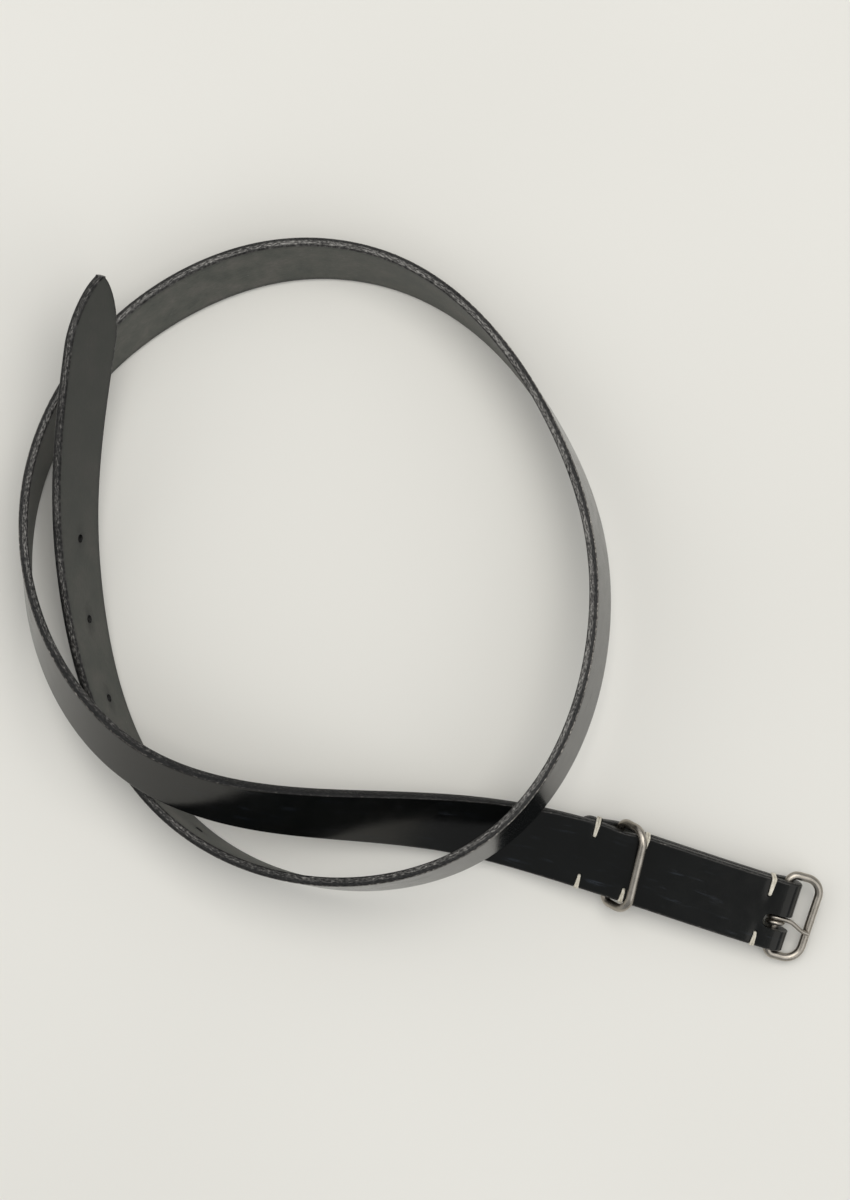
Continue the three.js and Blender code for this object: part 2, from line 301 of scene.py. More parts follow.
def tube(centres, radii, sides, closed, side_axis=None):
    """Vertices and faces of a round wire along centres, capped at its ends unless closed."""
    centres = np.asarray(centres, dtype=float)
    count = len(centres)
    if closed:
        tangents = np.roll(centres, -1, axis=0) - np.roll(centres, 1, axis=0)
    else:
        tangents = np.gradient(centres, axis=0)
    tangents /= np.linalg.norm(tangents, axis=1, keepdims=True)
    if side_axis is not None:
        first = np.tile(np.asarray(side_axis, dtype=float), (count, 1))
    else:
        first = np.zeros_like(centres)
        start = np.cross(tangents[0], ANY_AXIS)
        for i, tangent in enumerate(tangents):
            start = start - tangent * np.dot(start, tangent)
            start = start / np.linalg.norm(start)
            first[i] = start
    second = np.cross(tangents, first)
    angles = np.linspace(0, 2 * math.pi, sides, endpoint=False)
    radii = np.broadcast_to(radii, (count,))[:, None, None]
    around = first[:, None] * np.cos(angles)[:, None] + second[:, None] * np.sin(angles)[:, None]
    vertices = (centres[:, None] + radii * around).reshape(-1, 3)
    faces = grid_faces(count, sides, close_rows=closed, close_columns=True)
    if not closed:
        faces.append(tuple(range(sides)))
        faces.append(tuple(reversed(range((count - 1) * sides, count * sides))))
    return vertices, faces


def outward(piece):
    """Turns every face of a closed piece outwards."""
    solid = bmesh.new()
    solid.from_mesh(piece.data)
    bmesh.ops.recalc_face_normals(solid, faces=solid.faces)
    solid.to_mesh(piece.data)
    solid.free()
    return piece


QUARTER_STEPS = 24


def rounded_outline(x0, x1, y0, y1, corners, step):
    """A closed outline with rounded corners from the low left one, with a point every step."""
    centres = [
        (x0 + corners[0], y0 + corners[0]),
        (x1 - corners[1], y0 + corners[1]),
        (x1 - corners[2], y1 - corners[2]),
        (x0 + corners[3], y1 - corners[3]),
    ]
    dense = []
    for quarter, ((x, y), radius) in enumerate(zip(centres, corners)):
        for angle in np.linspace(quarter - 2, quarter - 1, QUARTER_STEPS) * math.pi / 2:
            dense.append((x + radius * math.cos(angle), y + radius * math.sin(angle)))
    dense = np.array(dense + dense[:1])
    lengths = np.linalg.norm(np.diff(dense, axis=0), axis=1)
    travelled = np.concatenate([[0], np.cumsum(lengths)])
    count = round(travelled[-1] / step)
    wanted = np.linspace(0, travelled[-1], count, endpoint=False)
    return np.stack([np.interp(wanted, travelled, dense[:, axis]) for axis in (0, 1)], axis=1)


# ---------------------------------------------------------------- shader tools


# Where a Mix node keeps its factor, its two colours and its blended colour.
MIX_INPUTS = (0, 6, 7)
MIX_OUTPUT = 2


class Shader:
    """One material and the few node steps that the belt's materials share."""

    def __init__(self, name):
        self.material = bpy.data.materials.new(name)
        self.material.use_nodes = True
        self.nodes = self.material.node_tree.nodes
        self.links = self.material.node_tree.links
        self.surface = self.nodes["Principled BSDF"]

    def node(self, kind, inputs=(), **settings):
        """A new node with its inputs linked or set, whichever their values call for."""
        node = self.nodes.new("ShaderNode" + kind)
        for key, value in settings.items():
            setattr(node, key, value)
        for key, value in dict(inputs).items():
            self.put(node.inputs[key], value)
        return node

    def put(self, socket, value):
        if isinstance(value, bpy.types.NodeSocket):
            self.links.new(value, socket)
        else:
            socket.default_value = value

    def set(self, **values):
        """Sets the surface's own inputs, named with underscores for spaces."""
        for key, value in values.items():
            self.put(self.surface.inputs[key.replace("_", " ")], value)

    def noise(self, vector, scale, detail=4, roughness=0.55):
        inputs = {"Vector": vector, "Scale": scale, "Detail": detail, "Roughness": roughness}
        return self.node("TexNoise", inputs).outputs["Fac"]

    def stretched(self, vector, scale):
        return self.node("Mapping", {"Vector": vector, "Scale": scale}).outputs["Vector"]

    def ramp(self, factor, stops):
        """A colour for each factor, from (position, colour) stops."""
        node = self.node("ValToRGB", {"Fac": factor})
        elements = node.color_ramp.elements
        while len(elements) < len(stops):
            elements.new(0.5)
        for element, (position, colour) in zip(elements, stops):
            element.position = position
            element.color = (*colour, 1)
        return node.outputs["Color"]

    def grey(self, factor, low, high, start, end):
        """A number that goes from low to high while factor goes from start to end."""
        inputs = {
            "Value": factor,
            "From Min": start,
            "From Max": end,
            "To Min": low,
            "To Max": high,
        }
        return self.node("MapRange", inputs).outputs["Result"]

    def mix(self, factor, first, second, blend="MIX"):
        node = self.node("Mix", data_type="RGBA", blend_type=blend)
        for place, value in zip(MIX_INPUTS, (factor, first, second)):
            self.put(node.inputs[place], value)
        return node.outputs[MIX_OUTPUT]

    def maths(self, operation, first, second):
        node = self.node("Math", operation=operation)
        self.put(node.inputs[0], first)
        self.put(node.inputs[1], second)
        return node.outputs[0]

    def bump(self, height, strength, distance, normal=None):
        inputs = {"Height": height, "Strength": strength, "Distance": distance}
        if normal is not None:
            inputs["Normal"] = normal
        return self.node("Bump", inputs).outputs["Normal"]


LEATHER_UV = "Leather"  # along and across the leather
SECTION_UV = "Section"  # out of the leather's middle, and in from its edge


def leather_shader(name):
    """A material for the strap, with both of its maps to build on."""
    shader = Shader(name)
    uv = shader.node("UVMap", uv_map=LEATHER_UV).outputs["UV"]
    section = shader.node("UVMap", uv_map=SECTION_UV).outputs["UV"]
    out, inset = shader.node("SeparateXYZ", {"Vector": section}).outputs[:2]
    return shader, uv, out, inset


def grain_material():
    """Smooth waxed black grain: fine pores, faint scuffs along the strap, soft patches and a
    painted highlight along its rim.
    """
    shader, uv, _, inset = leather_shader("leather_grain")
    pores = shader.node("TexVoronoi", {"Vector": uv, "Scale": 2600.0}).outputs["Distance"]
    wrinkles = shader.noise(shader.stretched(uv, (0.6, 1, 1)), 900, 6, 0.6)
    patches = shader.noise(uv, 45, 3)
    scuffs = shader.noise(shader.stretched(uv, (0.14, 1, 1)), 420, 5, 0.65)
    scuffed = shader.grey(scuffs, 0, 1, 0.57, 0.72)
    scuffed = shader.maths("MULTIPLY", scuffed, shader.grey(patches, 0, 1, 0.42, 0.62))
    black = shader.ramp(
        patches, [(0.3, (0.0016, 0.002, 0.0022)), (0.75, (0.0035, 0.0042, 0.0045))]
    )
    colour = shader.mix(shader.maths("MULTIPLY", scuffed, 0.7), black, (0.022, 0.028, 0.038, 1))
    # Painted highlight: a lighter line on the grain just inside its rim, where the bevel catches
    # the light.
    painted_rim_highlight = shader.grey(inset, 0.5, 0, 0.0003, 0.0009)
    colour = shader.mix(painted_rim_highlight, colour, (0.05, 0.047, 0.043, 1))
    rough = shader.grey(shader.noise(uv, 160, 4), 0.13, 0.21, 0.3, 0.7)
    rough = shader.maths("ADD", rough, shader.maths("MULTIPLY", scuffed, 0.15))
    relief = shader.bump(shader.grey(pores, 0, 1, 0, 0.7), 0.06, 0.0001)
    relief = shader.bump(wrinkles, 0.06, 0.0002, relief)
    shader.set(Base_Color=colour, Roughness=rough, Normal=relief, Specular_IOR_Level=0.33)
    shader.set(Specular_Tint=(1, 0.97, 0.9, 1))
    return shader.material


HOLE_STAIN = 3.6
HOLE_STAIN_CORE = 0.9
HOLE_STAIN_SQUEEZE = 0.5
RAGGED = 0.7
DYED_FROM, DYED_TO = 0.6, 2.6
HANDLED_FROM, HANDLED_TO = 230, 60


def flesh_material():
    """The close olive-grey inner side, brushed along the strap, darker round the prong holes."""
    shader, uv, _, inset = leather_shader("leather_flesh")
    clouds = shader.noise(uv, 85, 6, 0.62)
    fibres = shader.noise(shader.stretched(uv, (0.3, 1, 1)), 1500, 6, 0.7)
    nap = shader.noise(uv, 3200, 3, 0.6)
    flecks = shader.noise(shader.stretched(uv, (0.5, 1, 1)), 700, 5, 0.7)
    tone = shader.ramp(
        clouds,
        [(0.32, (0.036, 0.041, 0.034)), (0.5, (0.067, 0.069, 0.058)), (0.66, (0.1, 0.094, 0.083))],
    )
    speck = shader.ramp(fibres, [(0.3, (0.78, 0.78, 0.78)), (0.7, (1.16, 1.16, 1.15))])
    colour = shader.mix(1.0, tone, speck, "MULTIPLY")
    colour = shader.mix(shader.grey(flecks, 0, 0.5, 0.65, 0.74), colour, (0.24, 0.24, 0.22, 1))
    along, across = shader.node("SeparateXYZ", {"Vector": uv}).outputs[:2]
    from_hole = shader.maths("SUBTRACT", along, LAST_HOLE_Q * MM)
    nearest = shader.maths("PINGPONG", from_hole, HOLE_PITCH / 2 * MM)
    nearest = shader.maths("MULTIPLY", nearest, HOLE_STAIN_SQUEEZE)
    sideways = shader.maths("SUBTRACT", across, FLESH_UV * MM)
    ragged = shader.grey(shader.noise(uv, 600, 3), -RAGGED * MM, RAGGED * MM, 0.3, 0.7)
    nearest = shader.node("CombineXYZ", {"X": nearest, "Y": sideways}).outputs["Vector"]
    distance = shader.node("VectorMath", {0: nearest}, operation="LENGTH").outputs["Value"]
    distance = shader.maths("ADD", distance, ragged)
    stain = shader.grey(distance, 0.85, 0, HOLE_STAIN_CORE * MM, HOLE_STAIN * MM)
    before_first = LAST_HOLE_Q - HOLE_PITCH * (HOLE_COUNT - 0.5)
    punched = shader.grey(along, 0, 1, before_first * MM, (before_first + HOLE_PITCH / 10) * MM)
    stain = shader.maths("MULTIPLY", stain, punched)
    beyond_last = LAST_HOLE_Q + 8
    unworn = shader.grey(along, 1, 0, beyond_last * MM, (beyond_last + 1) * MM)
    stain = shader.maths("MULTIPLY", stain, unworn)
    colour = shader.mix(stain, colour, (0.022, 0.022, 0.019, 1))
    dyed = shader.maths("ADD", inset, ragged)
    dyed = shader.grey(dyed, 0.7, 0, DYED_FROM * MM, DYED_TO * MM)
    colour = shader.mix(dyed, colour, (0.014, 0.015, 0.013, 1))
    handled = shader.grey(along, 0, 0.75, (Q_TIP - HANDLED_FROM) * MM, (Q_TIP - HANDLED_TO) * MM)
    colour = shader.mix(handled, colour, (0.018, 0.019, 0.016, 1))
    relief = shader.bump(fibres, 0.3, 0.0002)
    relief = shader.bump(nap, 0.25, 0.0001, relief)
    rough = shader.grey(clouds, 0.5, 0.62, 0.3, 0.7)
    shader.set(Base_Color=colour, Roughness=rough, Normal=relief)
    return shader.material


def edge_material():
    """The cut edge: mottled grey fibre, with a dark band on the grain side and a painted highlight
    along that side's bevel.
    """
    shader, uv, out, inset = leather_shader("leather_edge")
    fibres = shader.noise(shader.stretched(uv, (0.33, 1, 1)), 2100, 4, 0.6)
    longer = shader.stretched(uv, (0.6, 1, 1))
    crumbs = shader.node("TexVoronoi", {"Vector": longer, "Scale": 1700.0}).outputs["Distance"]
    patches = shader.noise(uv, 90, 3)
    mottle = shader.maths("ADD", fibres, shader.grey(patches, -0.05, 0.05, 0.3, 0.7))
    along = shader.node("SeparateXYZ", {"Vector": uv}).outputs[0]
    mottle = shader.maths("ADD", mottle, shader.grey(along, -0.16, 0.035, 0.18, 0.36))
    worn = shader.grey(along, 0, -0.08, (Q_TIP - 330) * MM, (Q_TIP - 240) * MM)
    mottle = shader.maths("ADD", mottle, worn)
    colour = shader.ramp(
        mottle,
        [
            (0.38, (0.006, 0.0057, 0.0054)),
            (0.48, (0.045, 0.043, 0.04)),
            (0.56, (0.115, 0.11, 0.103)),
            (0.68, (0.3, 0.29, 0.27)),
        ],
    )
    layer = shader.grey(out, 0, 1, -THICKNESS / 2 * MM, THICKNESS / 2 * MM)
    # Across the edge's thickness: darker at the flesh side and in a band on the grain side, with a
    # painted highlight in a thin line at the grain-side bevel.
    layer_tint_with_painted_highlight = shader.ramp(
        layer,
        [
            (0.0, (0.3, 0.3, 0.3)),
            (0.08, (0.25, 0.25, 0.25)),
            (0.16, (1, 1, 1)),
            (0.52, (0.9, 0.9, 0.9)),
            (0.62, (0.14, 0.14, 0.14)),
            (0.9, (0.1, 0.1, 0.1)),
            (0.93, (1.6, 1.55, 1.5)),
            (1.0, (1.3, 1.25, 1.2)),
        ],
    )
    colour = shader.mix(1.0, colour, layer_tint_with_painted_highlight, "MULTIPLY")
    # Painted shade: edge faces far in from the strap's sides, the walls of the slot and holes, are
    # darkened as recesses.
    painted_hole_shade = shader.grey(inset, 0, 0.85, (EDGE_BAND - 0.5) * MM, (EDGE_BAND + 0.5) * MM)
    colour = shader.mix(painted_hole_shade, colour, (0.012, 0.012, 0.012, 1))
    relief = shader.bump(crumbs, 0.55, 0.00035)
    relief = shader.bump(fibres, 0.8, 0.0005, relief)
    rough = shader.grey(mottle, 0.3, 0.5, 0.4, 0.7)
    shader.set(Base_Color=colour, Roughness=rough, Normal=relief, Specular_IOR_Level=0.3)
    return shader.material


def wire_material():
    """Brushed nickel plate: soft sheen, fine scratches and slight tarnish."""
    shader = Shader("wire_nickel")
    place = shader.node("TexCoord").outputs["Object"]
    tarnish = shader.noise(place, 260, 4)
    scratches = shader.noise(shader.stretched(place, (1, 0.12, 1)), 7000, 4, 0.7)
    pits = shader.noise(place, 2500, 3, 0.6)
    colour = shader.ramp(tarnish, [(0.3, (0.3, 0.272, 0.232)), (0.7, (0.42, 0.385, 0.335))])
    rough = shader.grey(tarnish, 0.25, 0.33, 0.3, 0.7)
    rough = shader.maths("ADD", rough, shader.grey(scratches, -0.05, 0.07, 0.3, 0.7))
    relief = shader.bump(scratches, 0.12, 0.00004)
    relief = shader.bump(pits, 0.1, 0.00006, relief)
    shader.set(Base_Color=colour, Roughness=rough, Normal=relief, Metallic=1.0)
    return shader.material


def thread_material():
    """Waxed linen thread, off-white, with fine fibres and a little dirt."""
    shader = Shader("waxed_thread")
    place = shader.node("TexCoord").outputs["Object"]
    dirt = shader.noise(place, 500, 4, 0.6)
    fibres = shader.noise(place, 6500, 4, 0.7)
    colour = shader.ramp(dirt, [(0.3, (0.47, 0.43, 0.35)), (0.6, (0.72, 0.68, 0.58))])
    shader.set(
        Base_Color=colour,
        Roughness=shader.grey(fibres, 0.5, 0.75, 0.3, 0.7),
        Normal=shader.bump(fibres, 0.5, 0.00008),
    )
    return shader.material


def floor_material():
    shader = Shader("floor_plain")
    place = shader.node("TexCoord").outputs["Object"]
    cloud = shader.noise(place, 3, 2)
    colour = shader.ramp(cloud, [(0.3, (0.70, 0.685, 0.64)), (0.7, (0.74, 0.725, 0.68))])
    shader.set(Base_Color=colour, Roughness=0.85)
    return shader.material


# ---------------------------------------------------------------- the strap

GRAIN, FLESH, EDGE = 0, 1, 2

# From the grain face round one edge to the flesh face: how far in from the edge, how far out of
# the leather's middle, and the finish.
EDGE_PROFILE = [
    (EDGE_BAND, 1.6, GRAIN),
    (1.2, 1.6, GRAIN),
    (0.62, 1.59, GRAIN),
    (0.5, 1.56, EDGE),
    (0.14, 1.24, EDGE),
    (0.05, 1.08, EDGE),
    (0.03, 0.9, EDGE),
    (-0.02, 0.5, EDGE),
    (-0.04, 0, EDGE),
    (-0.03, -0.5, EDGE),
    (0.03, -0.95, EDGE),
    (0.18, -1.33, EDGE),
    (0.4, -1.52, EDGE),
    (0.6, -1.6, EDGE),
    (1.1, -1.6, FLESH),
    (EDGE_BAND, -1.6, FLESH),
]
FACE_SHARES = (0.0, 0.3, 0.6, 0.85)


def section():
    """The whole section as (side, inset, share of the face's middle, offset, finish) points."""
    half = [(0.0, share, THICKNESS / 2, GRAIN) for share in FACE_SHARES]
    half += [(inset, None, offset, finish) for inset, offset, finish in EDGE_PROFILE]
    half += [(0.0, share, -THICKNESS / 2, FLESH) for share in reversed(FACE_SHARES)]
    right = [(1, *point) for point in half]
    left = [(-1, *point) for point in reversed(half[1:-1])]
    return right, left


# Where, past the turn-back's end, the strap goes on as one smooth layer.
TWO_LAYERS = 80


def strip_stations():
    """Places along the leather with a ring of vertices: close at bends and at the ends."""

    def stretch(start, end, step):
        return np.linspace(start, end, math.ceil((end - start) / step), endpoint=False)

    return np.concatenate(
        [
            stretch(Q_START, Q_START + TURN_BACK_CORNER, 0.5),
            stretch(Q_START + TURN_BACK_CORNER, -FOLD_LENGTH, 1.1),
            stretch(-FOLD_LENGTH, 0, 0.35),
            stretch(0, TWO_LAYERS, 1.1),
            stretch(TWO_LAYERS, Q_TIP - TIP_TAPER, 2),
            stretch(Q_TIP - TIP_TAPER, Q_TIP, 0.6),
            [Q_TIP],
        ]
    )


# Shares of the half width that the edge's profile and the flat face keep where the tip is narrow.
NARROWEST_BAND = 0.3
NARROWEST_FACE = 0.045


def flat_strip():
    """The uncut strip, laid flat: x is q, y is v and z is the offset, in millimetres."""
    q = strip_stations()
    half = half_width(q)
    right, left = section()
    ring = right + left
    columns = []
    for side, inset, share, offset, _ in ring:
        if share is None:
            v = np.maximum(half - inset, NARROWEST_BAND * half * (EDGE_BAND + 0.3 - inset) / 2)
        else:
            v = share * np.maximum(half - EDGE_BAND, NARROWEST_FACE * half)
        columns.append(np.stack([q, side * v, np.full_like(q, offset)], axis=1))
    vertices = np.stack(columns, axis=1)
    count = len(ring)
    faces = grid_faces(len(q), count, close_columns=True)
    finish = []
    for _ in range(len(q) - 1):
        for j in range(count):
            here, following = ring[j], ring[(j + 1) % count]
            pair = (here[4], following[4])
            finish.append(EDGE if EDGE in pair else pair[0])
    faces.append(tuple(range(count)))
    faces.append(tuple(reversed(range((len(q) - 1) * count, len(q) * count))))
    finish += [EDGE, EDGE]
    return vertices.reshape(-1, 3), faces, finish


def both_layers(s):
    """The two places along the leather that lie at s."""
    return (s - BAR_S, -FOLD_LENGTH - (s - BAR_S))


def prism(outline):
    """An upright cutter through the flat strip."""
    count = len(outline)
    vertices = [(x, y, z) for z in (-THICKNESS, THICKNESS) for x, y in outline]
    faces = [tuple(reversed(range(count))), tuple(range(count, 2 * count))]
    faces += [(i, (i + 1) % count, count + (i + 1) % count, count + i) for i in range(count)]
    return vertices, faces


# Points in the outline of each cut, and round each kind of wire.
PRONG_HOLE_POINTS = 32
STITCH_HOLE_POINTS = 20
NOTCH_POINTS = 24
SLOT_END_POINTS = 17
WIRE_SIDES = 32
PRONG_SIDES = 24
PLY_SIDES = 8


def circle(x, y, radius, count):
    angles = np.linspace(0, 2 * math.pi, count, endpoint=False)
    return [(x + radius * math.cos(a), y + radius * math.sin(a)) for a in angles]


def slot_outline():
    """A slot with round ends, from one side of the fold to the other."""
    reach = SLOT_END - SLOT_HALF_WIDTH - BAR_S
    far = -FOLD_LENGTH - reach
    outline = []
    for x, start in ((reach, -0.5), (far, 0.5)):
        for angle in np.linspace(start, start + 1, SLOT_END_POINTS) * math.pi:
            outline.append(
                (
                    x + SLOT_HALF_WIDTH * math.cos(angle),
                    SLOT_V + SLOT_HALF_WIDTH * math.sin(angle),
                )
            )
    return outline


NOTCH_WIDTH = 2.3


def strip_cutters():
    """Cutters for the slot, the prong holes, and each stitch's holes and notches."""
    room = THREAD + 2 * CLEARANCE
    outlines = [slot_outline()]
    for i in range(HOLE_COUNT):
        q = LAST_HOLE_Q - HOLE_PITCH * i
        outlines.append(circle(q, 0, HOLE_DIAMETER / 2, PRONG_HOLE_POINTS))
    for s, hole_v in STITCHES.values():
        edge = math.copysign(WIDTH / 2, hole_v)
        for q in both_layers(s):
            outlines.append(circle(q, hole_v, room / 2, STITCH_HOLE_POINTS))
            notch = circle(0, 0, 1, NOTCH_POINTS)
            outlines.append([(q + x * NOTCH_WIDTH / 2, edge + y * THREAD_BITE) for x, y in notch])
    return [prism(outline) for outline in outlines]


def merged(parts):
    """One list of vertices and one of faces from several."""
    vertices, faces = [], []
    for part_vertices, part_faces in parts:
        faces += [tuple(i + len(vertices) for i in face) for face in part_faces]
        vertices += [tuple(v) for v in part_vertices]
    return vertices, faces


def cut_strip(materials):
    """The flat strip with its slot, holes and notches cut out."""
    vertices, faces, finish = flat_strip()
    strip = new_object("strap_leather", vertices, faces, materials)
    strip.data.polygons.foreach_set("material_index", finish)
    outward(strip)
    cutter_vertices, cutter_faces = merged(strip_cutters())
    cutter = new_object("cutter", cutter_vertices, cutter_faces, materials)
    cutter.data.polygons.foreach_set("material_index", [EDGE] * len(cutter.data.polygons))
    outward(cutter)
    boolean = strip.modifiers.new("cuts", "BOOLEAN")
    boolean.operation = "DIFFERENCE"
    boolean.solver = "EXACT"
    boolean.material_mode = "INDEX"
    boolean.object = cutter
    evaluated = strip.evaluated_get(bpy.context.evaluated_depsgraph_get())
    cut = bpy.data.meshes.new_from_object(evaluated)
    strip.modifiers.clear()
    strip.data = cut
    bpy.data.objects.remove(cutter)
    return strip


DENT_DEPTH = 0.25
DENT_REACH = 1.3


def thread_dents(q, v, offset):
    """How deep the stitches press into each point of the faces, between hole and edge."""
    depth = np.zeros_like(q)
    for s, hole_v in STITCHES.values():
        for place in both_layers(s):
            beyond = abs(hole_v) - math.copysign(1, hole_v) * v
            away = np.hypot(q - place, np.maximum(beyond, 0))
            depth = np.maximum(depth, DENT_DEPTH * np.exp(-((away / DENT_REACH) ** 2)))
    on_faces = np.abs(offset) > 0.75 * THICKNESS / 2
    return depth * np.sign(offset) * on_faces


PULL_S = KEEPER_S - 0.6
PULL_REACH = 8
PULL_DEPTH = 0.8
PULL_FROM_V = 4


def pulled_in(q, v):
    """Across the strap after its upper edge has drawn in where it arches over the keeper's bar."""
    away = np.minimum(np.abs(q + BAR_S - PULL_S) / PULL_REACH, 1)
    arch = (1 + np.cos(math.pi * away)) / 2 * (q > 0)
    near_edge = np.clip((v - PULL_FROM_V) / (WIDTH / 2 - PULL_FROM_V), 0, 1)
    return v - arch * PULL_DEPTH * near_edge**1.5


# How far from the grain's own map the flesh's and the edges' lie.
FLESH_UV = 120
EDGE_UV = 60


def write_uv(mesh, flat):
    """Maps in metres: along and across the leather with its faces apart, and over its section."""
    loops = np.empty(len(mesh.loops), dtype=int)
    mesh.loops.foreach_get("vertex_index", loops)
    finish = np.empty(len(mesh.polygons), dtype=int)
    mesh.polygons.foreach_get("material_index", finish)
    sizes = np.empty(len(mesh.polygons), dtype=int)
    mesh.polygons.foreach_get("loop_total", sizes)
    finish = np.repeat(finish, sizes)
    q, v, offset = flat[loops].T
    across = np.where(finish == FLESH, v + FLESH_UV, v)
    across = np.where(finish == EDGE, offset + np.sign(v) * EDGE_UV, across)
    inset = half_width(q) - np.abs(v)
    for name, columns in ((LEATHER_UV, (q, across)), (SECTION_UV, (offset, inset))):
        layer = mesh.uv_layers.new(name=name)
        layer.data.foreach_set("uv", (np.stack(columns, axis=1) * MM).ravel())


def strap():
    """The cut strip, folded round the buckle's bar and bent along its route."""
    piece = cut_strip([grain_material(), flesh_material(), edge_material()])
    mesh = piece.data
    flat = np.empty(3 * len(mesh.vertices))
    mesh.vertices.foreach_get("co", flat)
    flat = flat.reshape(-1, 3)
    write_uv(mesh, flat)
    q, v, offset = flat.T
    places = fold(q, offset - thread_dents(q, v, offset))
    mesh.vertices.foreach_set("co", bend(np.column_stack([places, pulled_in(q, v)])).ravel())
    shade_smooth(mesh, LEATHER_SHARP_ABOVE)
    mesh.update()
    outward(piece)
    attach(piece, "strap")
    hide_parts("strap")


# ---------------------------------------------------------------- wire and thread


def place_in(matrix, points):
    """Points in millimetres taken to their places in metres."""
    turn = np.array(matrix.to_3x3())
    return np.asarray(points) @ turn.T * MM + np.array(matrix.translation)


def buckle_matrix():
    """The buckle's own place: its bar lies on z, and its free bar on -x."""
    droop = Matrix.Rotation(math.radians(BUCKLE_DROOP), 4, "Z")
    return strap_matrix(BAR_S) @ Matrix.Translation((0, BAR_N * MM, 0)) @ droop


def keeper_matrix():
    """The keeper's own place: its bar lies on z, and its free bar on -x, resting on the strap."""
    rise = (THICKNESS + WIRE) / 2 + CLEARANCE + KEEPER_LIFT - BAR_N
    skew = Matrix.Rotation(math.radians(KEEPER_SKEW), 4, "Y")
    slope = Matrix.Rotation(-math.asin(rise / RING_DEPTH), 4, "Z")
    place = Matrix.Translation((0, BAR_N * MM, KEEPER_V * MM))
    return strap_matrix(KEEPER_S) @ place @ skew @ slope


WIRE_STEP = 0.35


def wire_ring(name, matrix, material, body, node):
    """A ring of round wire, with its bar's corners tighter than its free bar's."""
    corners = (FRONT_CORNER, BACK_CORNER, BACK_CORNER, FRONT_CORNER)
    half = RING_WIDTH / 2
    outline = rounded_outline(-RING_DEPTH, 0, -half, half, corners, WIRE_STEP)
    centres = np.column_stack([outline[:, 0], np.zeros(len(outline)), outline[:, 1]])
    vertices, faces = tube(centres, WIRE / 2, WIRE_SIDES, True, side_axis=(0, 1, 0))
    ring = outward(new_object(name, place_in(matrix, vertices), faces, [material]))
    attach(ring, body)
    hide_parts(node)


def smooth_path(points, steps):
    """A centripetal Catmull-Rom curve through points, with steps points a stretch."""
    points = [np.asarray(p, dtype=float) for p in points]
    padded = [2 * points[0] - points[1], *points, 2 * points[-1] - points[-2]]
    path = []
    for p0, p1, p2, p3 in zip(padded, padded[1:], padded[2:], padded[3:]):
        t1 = math.sqrt(np.linalg.norm(p1 - p0))
        t2 = t1 + math.sqrt(np.linalg.norm(p2 - p1))
        t3 = t2 + math.sqrt(np.linalg.norm(p3 - p2))
        for t in np.linspace(t1, t2, steps, endpoint=False):
            a1 = (t1 - t) / t1 * p0 + t / t1 * p1
            a2 = (t2 - t) / (t2 - t1) * p1 + (t - t1) / (t2 - t1) * p2
            a3 = (t3 - t) / (t3 - t2) * p2 + (t - t2) / (t3 - t2) * p3
            b1 = (t2 - t) / t2 * a1 + t / t2 * a2
            b2 = (t3 - t) / (t3 - t1) * a2 + (t - t1) / (t3 - t1) * a3
            path.append((t2 - t) / (t2 - t1) * b1 + (t - t1) / (t2 - t1) * b2)
    path.append(points[-1])
    return np.array(path)


# The prong past its coil: how far it has gone towards the free bar, and how far its v has dropped.
PRONG_RUN = [(2.2, 0), (4.8, 0.3), (7.2, 1.4), (9.6, 2.5), (RING_DEPTH, 2.9)]
PRONG_TAPER = 12
COIL_STEPS = 12
CURVE_STEPS = 6
TIP_STEPS = 8


def prong(material):
    """The prong: a coil on the buckle's bar, and a thinning end that lies on its free bar."""
    reach = WIRE / 2 + CLEARANCE + PRONG_WIRE / 2
    coil_steps = round(COIL_STEPS * PRONG_TURNS)
    points = []
    for i in range(coil_steps + 1):
        turns_left = PRONG_TURNS * (coil_steps - i) / coil_steps
        angle = math.pi / 2 - 2 * math.pi * turns_left
        v = PRONG_V - PRONG_PITCH * turns_left
        points.append((reach * math.cos(angle), reach * math.sin(angle), v))
    points += [(-forward, reach, PRONG_V - sideways) for forward, sideways in PRONG_RUN]
    path = smooth_path(points, CURVE_STEPS)
    travelled = np.concatenate([[0], np.cumsum(np.linalg.norm(np.diff(path, axis=0), axis=1))])
    left = travelled[-1] - travelled
    thinning = np.clip(1 - left / PRONG_TAPER, 0, 1)
    radii = (PRONG_WIRE + (PRONG_TIP_WIRE - PRONG_WIRE) * thinning) / 2
    tip = PRONG_TIP_WIRE / 2
    end = path[-1] - path[-2]
    end /= np.linalg.norm(end)
    rounding = np.sin(np.linspace(0, 0.97, TIP_STEPS)[1:] * math.pi / 2)
    path = np.concatenate([path, path[-1] + end * tip * rounding[:, None]])
    radii = np.concatenate([radii, tip * np.sqrt(1 - rounding**2)])
    vertices, faces = tube(path, radii, PRONG_SIDES, False)
    vertices = place_in(buckle_matrix(), vertices)
    piece = outward(new_object("prong_wire", vertices, faces, [material]))
    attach(piece, "prong")
    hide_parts("prong")


PLIES = 3
PLY_SHARE = 0.54  # of the thread's width, across one ply
PLY_LAY = 2.4  # along the thread for one turn of its plies
PASS_WIRE = 0.92  # across one of a stitch's two passes of thread
PASS_SPREAD = 0.43  # from the stitch's middle to each pass, out at the edge
PASS_TOGETHER = 0.12  # and down in the hole
PASS_OFFSET = 0.06  # up or down from the stitch's middle to each pass
PASS_CORNER = 0.9
PASS_STEP = 0.16
THREAD_LIFT = 0.12  # between the thread and the leather's face


